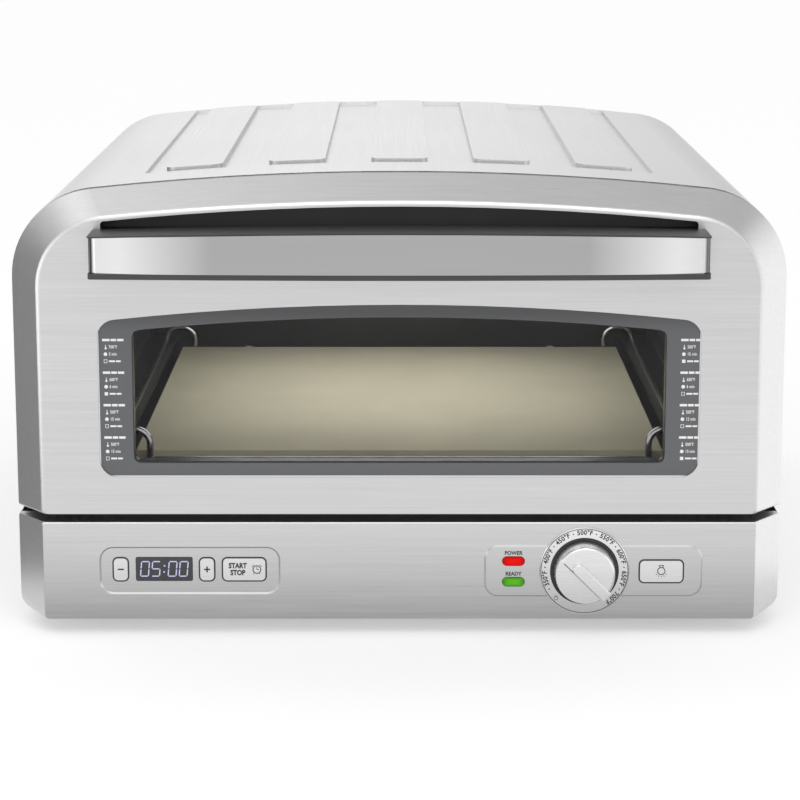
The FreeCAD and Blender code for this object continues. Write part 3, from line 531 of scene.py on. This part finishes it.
digitLook = {"text": "05:00", "height": 8.6 * mm, "width": 4.5 * mm, "pitch": 6.3 * mm,
             "stroke": 0.66 * mm, "gap": 0.16 * mm, "slant": 0.09,
             "colonShare": 0.5, "colonLift": 0.42, "colonDot": 0.5 * mm}
segmentsOf = {"0": "abcdef", "5": "acdfg"}


def addSegment(shape, start, end, stroke, slant, origin, y):
    (x0, z0), (x1, z1) = start, end
    length = math.hypot(x1 - x0, z1 - z0)
    along = Vector(((x1 - x0) / length, (z1 - z0) / length))
    side = Vector((-along.y, along.x)) * (stroke / 2)
    a, b = Vector(start), Vector(end)
    inner = along * (stroke / 2)
    outline = [a, a + inner + side, b - inner + side, b, b - inner - side, a + inner - side]
    corners = [shape.verts.new((origin[0] + p.x + p.y * slant, y, origin[1] + p.y)) for p in outline]
    shape.faces.new(corners)


def buildDigits():
    low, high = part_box("display_window")
    middle = (low + high) / 2
    y = low.y - inkDepth["proud"]
    h, w, gap = digitLook["height"] / 2, digitLook["width"] / 2, digitLook["gap"]
    ends = {"a": ((-w, h), (w, h)), "g": ((-w, 0), (w, 0)), "d": ((-w, -h), (w, -h)),
            "f": ((-w, 0), (-w, h)), "b": ((w, 0), (w, h)),
            "e": ((-w, -h), (-w, 0)), "c": ((w, -h), (w, 0))}
    shape = bmesh.new()
    widths = [digitLook["colonShare"] if mark == ":" else 1.0 for mark in digitLook["text"]]
    x = middle.x - sum(widths) * digitLook["pitch"] / 2
    for mark, share in zip(digitLook["text"], widths):
        centre = (x + share * digitLook["pitch"] / 2, middle.z)
        if mark == ":":
            for lift in (-digitLook["colonLift"], digitLook["colonLift"]):
                addDot(shape, centre[0] + lift * h * digitLook["slant"], centre[1] + lift * h,
                       digitLook["colonDot"], y, 12)
        else:
            for letter in segmentsOf[mark]:
                (x0, z0), (x1, z1) = ends[letter]
                tilt = Vector((x1 - x0, z1 - z0)).normalized() * gap
                addSegment(shape, (x0 + tilt.x, z0 + tilt.y), (x1 - tilt.x, z1 - tilt.y),
                           digitLook["stroke"], digitLook["slant"], centre, y)
        x += share * digitLook["pitch"]
    bmesh.ops.recalc_face_normals(shape, faces=shape.faces)
    return addPrint("displayDigits", shape, "digitGlow", "chassis")


labelLook = {"words": (("red_indicator", "POWER"), ("green_indicator", "READY")),
             "height": 2.2 * mm, "rise": 4.65 * mm, "narrow": 0.95, "bold": 0.05}


def buildLabels():
    shape = bmesh.new()
    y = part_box("base_fascia")[0].y - inkDepth["proud"]
    for node, words in labelLook["words"]:
        low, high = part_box(node)
        addWords(shape, words, (low.x + high.x) / 2, (low.z + high.z) / 2 + labelLook["rise"],
                 labelLook["height"], y, narrow=labelLook["narrow"], bold=labelLook["bold"])
    return addPrint("fasciaLabels", shape, "darkInk", "chassis")


scaleLook = {"first": 350, "last": 700, "step": 50, "firstAngle": 191.25, "stepAngle": -33.75,
             "radius": 22.6 * mm, "height": 2.75 * mm, "charAngle": 4.9, "degreeShare": 0.72,
             "narrow": 0.92, "bold": 0.045, "dot": 0.42 * mm, "rim": 24.95 * mm, "rimLine": 0.42 * mm,
             "offAngle": 225.0, "offRing": 1.25 * mm, "offLine": 0.28 * mm, "offBar": 0.3 * mm,
             "offFrom": 0.2 * mm, "offTo": 1.7 * mm}


def buildDialScale():
    low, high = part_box("dial_ring")
    cx, cz = (low.x + high.x) / 2, (low.z + high.z) / 2
    y = low.y - inkDepth["proud"]
    shape = bmesh.new()
    radius = scaleLook["radius"]

    def spot(degrees):
        turn = math.radians(degrees)
        return cx + radius * math.cos(turn), cz + radius * math.sin(turn), turn - math.pi / 2

    count = (scaleLook["last"] - scaleLook["first"]) // scaleLook["step"] + 1
    for index in range(count):
        middle = scaleLook["firstAngle"] + index * scaleLook["stepAngle"]
        text = f"{scaleLook['first'] + index * scaleLook['step']}°F"
        shares = [scaleLook["degreeShare"] if mark == "°" else 1.0 for mark in text]
        angle = middle + sum(shares) * scaleLook["charAngle"] / 2
        for mark, share in zip(text, shares):
            x, z, turn = spot(angle - share * scaleLook["charAngle"] / 2)
            addWords(shape, mark, x, z, scaleLook["height"], y, turn, scaleLook["narrow"],
                     bold=scaleLook["bold"])
            angle -= share * scaleLook["charAngle"]
        x, z, turn = spot(middle - scaleLook["stepAngle"] / 2)
        addDot(shape, x, z, scaleLook["dot"], y, 12)
    x, z, turn = spot(scaleLook["offAngle"])
    addHoop(shape, cx, cz, scaleLook["rim"], scaleLook["rimLine"], y, 96)
    addHoop(shape, x, z, scaleLook["offRing"], scaleLook["offLine"], y, 20)
    addBar(shape, (x, z + scaleLook["offFrom"]), (x, z + scaleLook["offTo"]), scaleLook["offBar"], y)
    return addPrint("dialScale", shape, "darkInk", "chassis")


keyLook = {"line": 0.85 * mm, "sign": 3.5 * mm, "letter": 3.0 * mm, "leading": 4.1 * mm,
           "left": 3.7 * mm, "narrow": 0.84, "bold": 0.065}
clockLook = {"right": 7.2 * mm, "down": 0.1 * mm, "radius": 2.5 * mm, "ring": 0.55 * mm,
             "hand": 0.42 * mm, "long": 1.5 * mm, "short": 1.2 * mm, "line": 0.36 * mm,
             "strokes": (((2.9, 1.6), (1.5, 2.9)), ((1.5, -2.1), (2.0, -2.8)))}  # bells, then feet
bulbLook = {"up": 0.2 * mm, "radius": 2.35 * mm, "ring": 0.5 * mm, "neck": 0.95 * mm,
            "neckFrom": 2.05 * mm, "neckTo": 3.2 * mm, "neckLine": 0.5 * mm,
            "cap": 1.5 * mm, "capUp": 3.35 * mm, "capLine": 0.4 * mm, "rays": (215, 242, 270, 298, 325),
            "rayFrom": 2.9 * mm, "rayTo": 3.7 * mm, "rayLine": 0.36 * mm}


def keyFace(node):
    low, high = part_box(node)
    return (low.x + high.x) / 2, low.y - inkDepth["proud"], (low.z + high.z) / 2


def buildKeyPrints():
    line, half = keyLook["line"], keyLook["sign"] / 2
    shape = bmesh.new()
    x, y, z = keyFace("minus_key")
    addBar(shape, (x - half, z), (x + half, z), line, y)
    addPrint("minusPrint", shape, "darkInk", "minus_key_body")

    shape = bmesh.new()
    x, y, z = keyFace("plus_key")
    addBar(shape, (x - half, z), (x + half, z), line, y)
    for side in (-1, 1):
        addBar(shape, (x, z + side * line / 2), (x, z + side * half), line, y)
    addPrint("plusPrint", shape, "darkInk", "plus_key_body")

    shape = bmesh.new()
    x, y, z = keyFace("start_key")
    for words, side in (("START", 1), ("STOP", -1)):
        addWords(shape, words, x - keyLook["left"], z + side * keyLook["leading"] / 2, keyLook["letter"],
                 y, narrow=keyLook["narrow"], bold=keyLook["bold"])
    look = clockLook
    cx, cz = x + look["right"], z - look["down"]
    addHoop(shape, cx, cz, look["radius"], look["ring"], y)
    addBar(shape, (cx, cz), (cx, cz + look["long"]), look["hand"], y)
    addBar(shape, (cx + look["hand"] / 2, cz), (cx + look["short"], cz), look["hand"], y)
    for side in (-1, 1):
        for (x0, z0), (x1, z1) in look["strokes"]:
            addBar(shape, (cx + side * x0 * mm, cz + z0 * mm), (cx + side * x1 * mm, cz + z1 * mm),
                   look["line"], y)
    addPrint("startPrint", shape, "darkInk", "start_key_body")

    shape = bmesh.new()
    x, y, z = keyFace("lamp_key")
    look = bulbLook
    z += look["up"]
    addHoop(shape, x, z, look["radius"], look["ring"], y)
    for side in (-look["neck"], look["neck"]):
        addBar(shape, (x + side, z + look["neckFrom"]), (x + side, z + look["neckTo"]), look["neckLine"], y)
    addBar(shape, (x - look["cap"], z + look["capUp"]), (x + look["cap"], z + look["capUp"]),
           look["capLine"], y)
    for degrees in look["rays"]:
        turn = math.radians(degrees)
        inner, outer = look["rayFrom"], look["rayTo"]
        addBar(shape, (x + inner * math.cos(turn), z + inner * math.sin(turn)),
               (x + outer * math.cos(turn), z + outer * math.sin(turn)), look["rayLine"], y)
    addPrint("lampPrint", shape, "darkInk", "lamp_key_body")


# rings of painted shade round the keys
keyGapShadeLook = {"keys": ("minus_key", "plus_key", "start_key", "lamp_key"), "flange": 1.4 * mm,
                "proud": 0.35 * mm, "corner": 2.4 * mm, "inner": 0.06 * mm, "band": 0.85 * mm}


def buildKeyGapShades():  # painted shade: thin dark rings that fill the gaps round the keys
    shape = bmesh.new()
    for node in keyGapShadeLook["keys"]:
        low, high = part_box(node)
        middle = (low + high) / 2
        grow = keyGapShadeLook["inner"] + keyGapShadeLook["band"] - keyGapShadeLook["flange"]
        wide, tall = high.x - low.x + 2 * grow, high.z - low.z + 2 * grow
        y = low.y + keyGapShadeLook["proud"] - inkDepth["proud"]
        one = bmesh.new()
        bmesh.ops.create_grid(one, x_segments=1, y_segments=1, size=0.5,
                              matrix=facing(middle.x, y, middle.z) @ Matrix.Diagonal((wide, tall, 1, 1)))
        bmesh.ops.bevel(one, geom=one.verts[:], offset=keyGapShadeLook["corner"] + keyGapShadeLook["band"],
                        affect="VERTICES", segments=6, profile=0.5, material=-1)
        bmesh.ops.inset_region(one, faces=one.faces[:], thickness=keyGapShadeLook["band"],
                               use_boundary=True, use_even_offset=True)
        pad = max(one.faces, key=lambda face: face.calc_area())
        bmesh.ops.delete(one, geom=[pad], context="FACES_ONLY")
        mergeInto(shape, one)
    return addPrint("keyGapShades", shape, "dark_trim", "chassis")


# painted shadow line along the knob's grip bar
knobShadowLook = {"start": -13.5 * mm, "end": 15.5 * mm, "down": -3.65 * mm, "width": 0.8 * mm,
              "turn": 45.0, "step": 2.2 * mm, "bar": 2.8 * mm}


def buildKnobShadowLine():  # painted shadow: a dark line at the foot of the knob's grip bar
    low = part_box("knob")[0]
    dialLow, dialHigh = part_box("dial_ring")
    cx, cz = (dialLow.x + dialHigh.x) / 2, (dialLow.z + dialHigh.z) / 2
    turn = math.radians(knobShadowLook["turn"])
    spots = []
    for along in (knobShadowLook["start"], knobShadowLook["end"]):
        spots.append((cx + along * math.cos(turn) + knobShadowLook["down"] * math.sin(turn),
                      cz - along * math.sin(turn) + knobShadowLook["down"] * math.cos(turn)))
    shape = bmesh.new()
    y = low.y + knobShadowLook["bar"] + knobShadowLook["step"] - inkDepth["proud"]
    addBar(shape, spots[0], spots[1], knobShadowLook["width"], y)
    return addPrint("knobShadowLine", shape, "dark_trim", "dial")


buildKnobShadowLine()
buildKeyGapShades()
buildDigits()
buildLabels()
buildDialScale()
buildKeyPrints()
print("control prints made")


# cooking guide on the glass border: heights and marks in millimetres, one column each side
guideLook = {"offset": 162.2 * mm, "left": -4.3 * mm, "tops": (171.8, 153.1, 134.4, 115.7),
             "row": 4.05 * mm, "height": 1.85 * mm, "narrow": 0.78, "words": 3.6 * mm,
             "heading": (4.2, 3.1, 3.6), "headingGap": 0.55, "headingLine": 1.35 * mm,
             "bulb": (1.9, -0.75), "bulbRadius": 0.62 * mm, "stem": (-0.3, 1.2), "stemLine": 0.42 * mm,
             "clock": 1.7 * mm, "clockRadius": 1.05 * mm,
             "pan": (0.75, 2.65), "panDepth": 0.9, "panLine": 0.26 * mm, "panSides": (0.88, 2.52),
             "panReach": 0.77, "fullPan": 1.9 * mm, "notes": ((3.6, 7.0), (7.5, 10.2)), "noteLine": 1.0 * mm,
             "temps": (("700", "600", "500", "500"), ("500", "650", "500", "500")),
             "times": (("5", "6", "15", "15"), ("15", "6", "12", "15"))}


def buildGuide():
    look = guideLook
    shape = bmesh.new()
    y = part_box("outer_glass")[0].y - inkDepth["proud"]
    for column, side in enumerate((-1, 1)):
        x = side * look["offset"] + look["left"]
        for block, top in enumerate(look["tops"]):
            z = top * mm
            reach = x
            for share in look["heading"]:  # heading, as plain strokes
                addBar(shape, (reach, z), (reach + share * mm, z), look["headingLine"], y)
                reach += (share + look["headingGap"]) * mm
            z -= look["row"]
            along, down = look["bulb"]  # thermometer, then the temperature
            foot, head = look["stem"]
            addDot(shape, x + along * mm, z + down * mm, look["bulbRadius"], y, 12)
            addBar(shape, (x + along * mm, z + foot * mm), (x + along * mm, z + head * mm),
                   look["stemLine"], y)
            addWords(shape, look["temps"][column][block] + "°F", x + look["words"], z, look["height"], y,
                     narrow=look["narrow"], align="LEFT")
            z -= look["row"]
            addDot(shape, x + look["clock"], z, look["clockRadius"], y, 16)
            addWords(shape, look["times"][column][block] + " min", x + look["words"], z, look["height"],
                     y, narrow=look["narrow"], align="LEFT")
            z -= look["row"]
            start, end = look["pan"]
            if (block + column) % 3 == 1:  # a full square
                addBar(shape, (x + start * mm, z), (x + end * mm, z), look["fullPan"], y)
            else:  # an open square
                for lift in (-look["panDepth"], look["panDepth"]):
                    addBar(shape, (x + start * mm, z + lift * mm), (x + end * mm, z + lift * mm),
                           look["panLine"], y)
                reachUp = look["panReach"] * mm
                for shift in look["panSides"]:
                    addBar(shape, (x + shift * mm, z - reachUp), (x + shift * mm, z + reachUp),
                           look["panLine"], y)
            for start, end in look["notes"]:
                addBar(shape, (x + start * mm, z), (x + end * mm, z), look["noteLine"], y)
    return addPrint("cookingGuide", shape, "paleInkWithGlow", "door")


buildGuide()
print("guide printed")


# screw heads with a six-lobed recess: shares of the head's height and radius
headLook = {"round": 0.5, "land": 0.2, "lobe": 0.40, "lobeSwing": 0.08, "recess": 0.7, "tip": 0.8,
            "overlap": 0.1 * mm}


def buildScrews(name, node, body, places, outward, look):
    radius, height = look["radius"], look["height"]
    shank, length = look["shank"], look["length"]
    shape = bmesh.new()
    for place in places:
        one = bmesh.new()
        bmesh.ops.create_cone(one, cap_ends=True, segments=24, radius1=radius, radius2=radius, depth=height)
        bmesh.ops.translate(one, verts=one.verts, vec=(0, 0, height / 2))
        rim = [edge for edge in one.edges if all(vert.co.z > height * 0.9 for vert in edge.verts)]
        bmesh.ops.bevel(one, geom=rim, offset=height * headLook["round"], affect="EDGES", segments=3,
                        profile=0.5, material=-1)
        top = max(one.faces, key=lambda face: (face.calc_center_median().z, face.calc_area()))
        bmesh.ops.inset_region(one, faces=[top], thickness=radius * headLook["land"], use_even_offset=True)
        for vert in top.verts:  # six lobes for the driver
            turn = math.atan2(vert.co.y, vert.co.x)
            reach = radius * (headLook["lobe"] + headLook["lobeSwing"] * math.cos(6 * turn))
            vert.co.x, vert.co.y = reach * math.cos(turn), reach * math.sin(turn)
        made = bmesh.ops.extrude_face_region(one, geom=[top])
        floor = [item for item in made["geom"] if isinstance(item, bmesh.types.BMVert)]
        bmesh.ops.translate(one, verts=floor, vec=(0, 0, -height * headLook["recess"]))
        if top.is_valid:
            bmesh.ops.delete(one, geom=[top], context="FACES_ONLY")
        bmesh.ops.create_cone(one, cap_ends=True, segments=16, radius1=shank * headLook["tip"],
                              radius2=shank, depth=length,
                              matrix=Matrix.Translation((0, 0, -length / 2 + headLook["overlap"])))
        turned = Vector((0, 0, 1)).rotation_difference(outward).to_matrix().to_4x4()
        one.transform(Matrix.Translation(place) @ turned)
        mergeInto(shape, one)
    piece = addPiece(name, shape, "screw_steel", body, 35)
    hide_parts(node)
    return piece


def screwPlaces(node, axis, far):  # centre of each separate solid of a node, on the plane under its head
    mesh = nodes[node].data
    shape = bmesh.new()
    shape.from_mesh(mesh)
    bmesh.ops.remove_doubles(shape, verts=shape.verts, dist=0.00001)
    left = set(shape.verts)
    centres = []
    while left:
        stack = [left.pop()]
        group = []
        while stack:
            vert = stack.pop()
            group.append(vert.co.copy())
            for edge in vert.link_edges:
                other = edge.other_vert(vert)
                if other in left:
                    left.remove(other)
                    stack.append(other)
        low = Vector([min(co[i] for co in group) for i in range(3)])
        high = Vector([max(co[i] for co in group) for i in range(3)])
        middle = (low + high) / 2
        middle[axis] = far
        centres.append(middle)
    shape.free()
    return sorted(centres, key=lambda c: (round(c.x, 4), round(c.z, 4), round(c.y, 4)))


screwLooks = {  # lift is from the sheet's face, or from the foot screws' lowest point, to under the head
    "panel": {"radius": 3.5 * mm, "height": 1.9 * mm, "shank": 1.75 * mm, "length": 9.5 * mm,
              "lift": 0.05 * mm},
    "door": {"radius": 3.1 * mm, "height": 1.3 * mm, "shank": 1.55 * mm, "length": 6.5 * mm,
             "lift": 0.03 * mm},
    "foot": {"radius": 4.1 * mm, "height": 2.2 * mm, "shank": 1.9 * mm, "length": 13.0 * mm,
             "lift": 2.3 * mm},
}

look = screwLooks["panel"]
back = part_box("back_panel")[1].y + look["lift"]
buildScrews("panelScrewHeads", "panel_screws", "chassis", screwPlaces("panel_screws", 1, back),
            Vector((0, 1, 0)), look)
look = screwLooks["door"]
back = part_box("door_inner_panel")[1].y + look["lift"]
buildScrews("doorScrewHeads", "door_screws", "door", screwPlaces("door_screws", 1, back),
            Vector((0, 1, 0)), look)
look = screwLooks["foot"]
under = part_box("foot_screws")[0].z + look["lift"]
buildScrews("footScrewHeads", "foot_screws", "chassis", screwPlaces("foot_screws", 2, under),
            Vector((0, 0, -1)), look)
print("screws made")


def addStage(name, shape, material):
    mesh = bpy.data.meshes.new(name)
    shape.to_mesh(mesh)
    shape.free()
    mesh.materials.append(material)
    prop = bpy.data.objects.new(name, mesh)
    scene.collection.objects.link(prop)
    return prop


floorLook = {"radius": 30.0, "tone": 0.66, "mottle": 0.01, "glow": 0.36}


def buildFloor():
    shape = bmesh.new()
    bmesh.ops.create_circle(shape, cap_ends=True, segments=96, radius=floorLook["radius"])
    material, graph = newFinish("floorPaint")
    soft = graph.noise(graph.place(), 0.6, 2.0)
    tone = floorLook["tone"]
    graph.surface({"Base Color": graph.between(soft, grey(tone), grey(tone + floorLook["mottle"])),
                   "Roughness": 0.9, "Specular IOR Level": 0.0, "Emission Color": grey(1.0),
                   "Emission Strength": floorLook["glow"]})
    floor = addStage("studioFloor", shape, material)


cameraLook = {"ahead": 1316.5 * mm, "height": 431.8 * mm, "pitch": 10.664, "shift": -0.1010,
              "lens": 107.9, "aside": 0.4 * mm}


def buildCamera():
    data = bpy.data.cameras.new("viewCamera")
    data.sensor_width = 36.0
    data.lens = cameraLook["lens"]
    data.shift_y = cameraLook["shift"]
    data.clip_start, data.clip_end = 0.05, 100.0
    camera = bpy.data.objects.new("viewCamera", data)
    camera.location = (cameraLook["aside"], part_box("door_shell")[0].y - cameraLook["ahead"],
                       cameraLook["height"])
    camera.rotation_euler = (math.radians(90 - cameraLook["pitch"]), 0, 0)
    scene.collection.objects.link(camera)
    scene.camera = camera


# brightness from each side, soft lobes as (direction, tightness, gain), and what the camera sees
skyLook = {"left": 0.60, "right": 0.66, "up": 0.66, "back": 0.56, "front": 0.83, "down": 0.7,
           "seen": 1.05, "lobes": (((-0.46, 0.12, 0.88), 16.0, 0.9), ((0.0, -0.72, 0.69), 5.0, 0.9),
                                   ((-0.06, 0.97, 0.2), 30.0, 0.80))}


def buildSky():
    world = bpy.data.worlds.new("studioSky")
    scene.world = world
    world.use_nodes = True
    graph = Graph(world.node_tree)
    direction = graph.add("TexCoord", None, None, "Generated")
    x, y, z = graph.axes(direction)
    total = 0.0
    for axis, low, high in ((x, "left", "right"), (y, "front", "back"), (z, "down", "up")):
        square = axis * axis
        side = axis.maths("GREATER_THAN", axis, 0.0)
        total = square * (side * (skyLook[high] - skyLook[low]) + skyLook[low]) + total
    for toward, power, gain in skyLook["lobes"]:
        facingIt = graph.add("VectorMath", {"operation": "DOT_PRODUCT"}, {0: direction, 1: toward}, "Value")
        total = total + facingIt.clamped() ** power * gain
    seen = graph.add("LightPath", None, None, "Is Camera Ray")
    level = total + (skyLook["seen"] - total) * seen
    shade = graph.add("Background", None, {"Color": (1, 1, 1, 1), "Strength": level})
    graph.add("OutputWorld", None, {"Surface": shade})


lampLooks = {
    "overheadBox": {"at": (0.0, -1.3, 1.5), "aim": (0, 0, 0.1), "size": (1.2, 0.8), "watts": 4.0},
    "chamberLight": {"at": (0.0, -0.02, 0.198), "aim": (0, -0.02, 0.0), "size": (0.26, 0.22),
                     "watts": 0.34},
}


cardLooks = {  # boards beside the set that only reflections see: across and up are brightness ramps
    "leftCard": {"at": (-0.45, 0.26, 0.24), "turn": (90, 0, 90), "lean": -30, "size": (1.02, 0.62),
                 "across": ((0.0, 0.42), (0.10, 0.30), (0.45, 0.30), (0.75, 0.85)),
                 "up": ((0.55, 1.0), (1.0, 2.6))},
    "rightCard": {"at": (0.45, 0.26, 0.24), "turn": (90, 0, 90), "lean": 30, "size": (1.02, 0.62),
                  "across": ((0.0, 1.45), (0.45, 1.35), (0.75, 0.8)), "up": ((0.55, 1.0), (1.0, 0.6))},
    "frontLeftCard": {"at": (-0.60, -0.72, 0.20), "turn": (90, 0, -63), "lean": 0,
                      "size": (0.80, 0.46), "across": ((0.0, 2.1), (0.70, 1.9), (1.0, 0.7)),
                      "up": ((0.0, 1.0), (1.0, 0.8))},
    "frontRightCard": {"at": (0.60, -0.72, 0.20), "turn": (90, 0, 63), "lean": 0,
                       "size": (0.80, 0.46), "across": ((0.0, 0.6), (0.30, 1.3), (1.0, 1.6)),
                       "up": ((0.0, 1.0), (1.0, 0.8))},
    "floorShade": {"at": (0.0, -0.345, 0.0015), "turn": (0, 0, 0), "lean": 0, "size": (0.64, 0.25),
                   "across": ((0.0, 1.0), (1.0, 1.0)), "up": ((0.0, 1.35), (1.0, 0.40))},
}


rampTop = 4.0  # a ramp holds 0 to 1, so brightness is divided by this and multiplied again


def buildCards():
    for name, look in cardLooks.items():
        wide, tall = look["size"]
        shape = bmesh.new()
        bmesh.ops.create_grid(shape, x_segments=1, y_segments=1, size=0.5,
                              matrix=Matrix.Diagonal((wide, tall, 1, 1)))
        material, graph = newFinish(name)
        x, y, z = graph.axes()
        level = 1.0
        for place, stops in ((x * (1 / wide) + 0.5, look["across"]), (y * (1 / tall) + 0.5, look["up"])):
            scaled = [(spot, grey(value / rampTop)) for spot, value in stops]
            level = graph.add("ValToRGB", {"stops": scaled}, {"Fac": place}, "Color") * level * rampTop
        glow = graph.add("Emission", None, {"Color": (1, 1, 1, 1), "Strength": level})
        graph.add("OutputMaterial", None, {"Surface": glow})
        card = addStage(name, shape, material)
        card.location = look["at"]
        card.rotation_euler = [math.radians(a) for a in look["turn"]]
        card.rotation_euler.rotate_axis("X", math.radians(look["lean"]))
        card.visible_camera = card.visible_diffuse = card.visible_shadow = False
        card.visible_transmission = card.visible_volume_scatter = False


def buildLamps():
    for name, look in lampLooks.items():
        data = bpy.data.lights.new(name, "AREA")
        data.shape = "RECTANGLE"
        data.size, data.size_y = look["size"]
        data.energy = look["watts"]
        lamp = bpy.data.objects.new(name, data)
        lamp.location = look["at"]
        toward = Vector(look["aim"]) - Vector(look["at"])
        lamp.rotation_euler = toward.to_track_quat("-Z", "Y").to_euler()
        scene.collection.objects.link(lamp)


buildFloor()
buildCamera()
buildSky()
buildCards()
buildLamps()
print("stage, camera and lamps set")
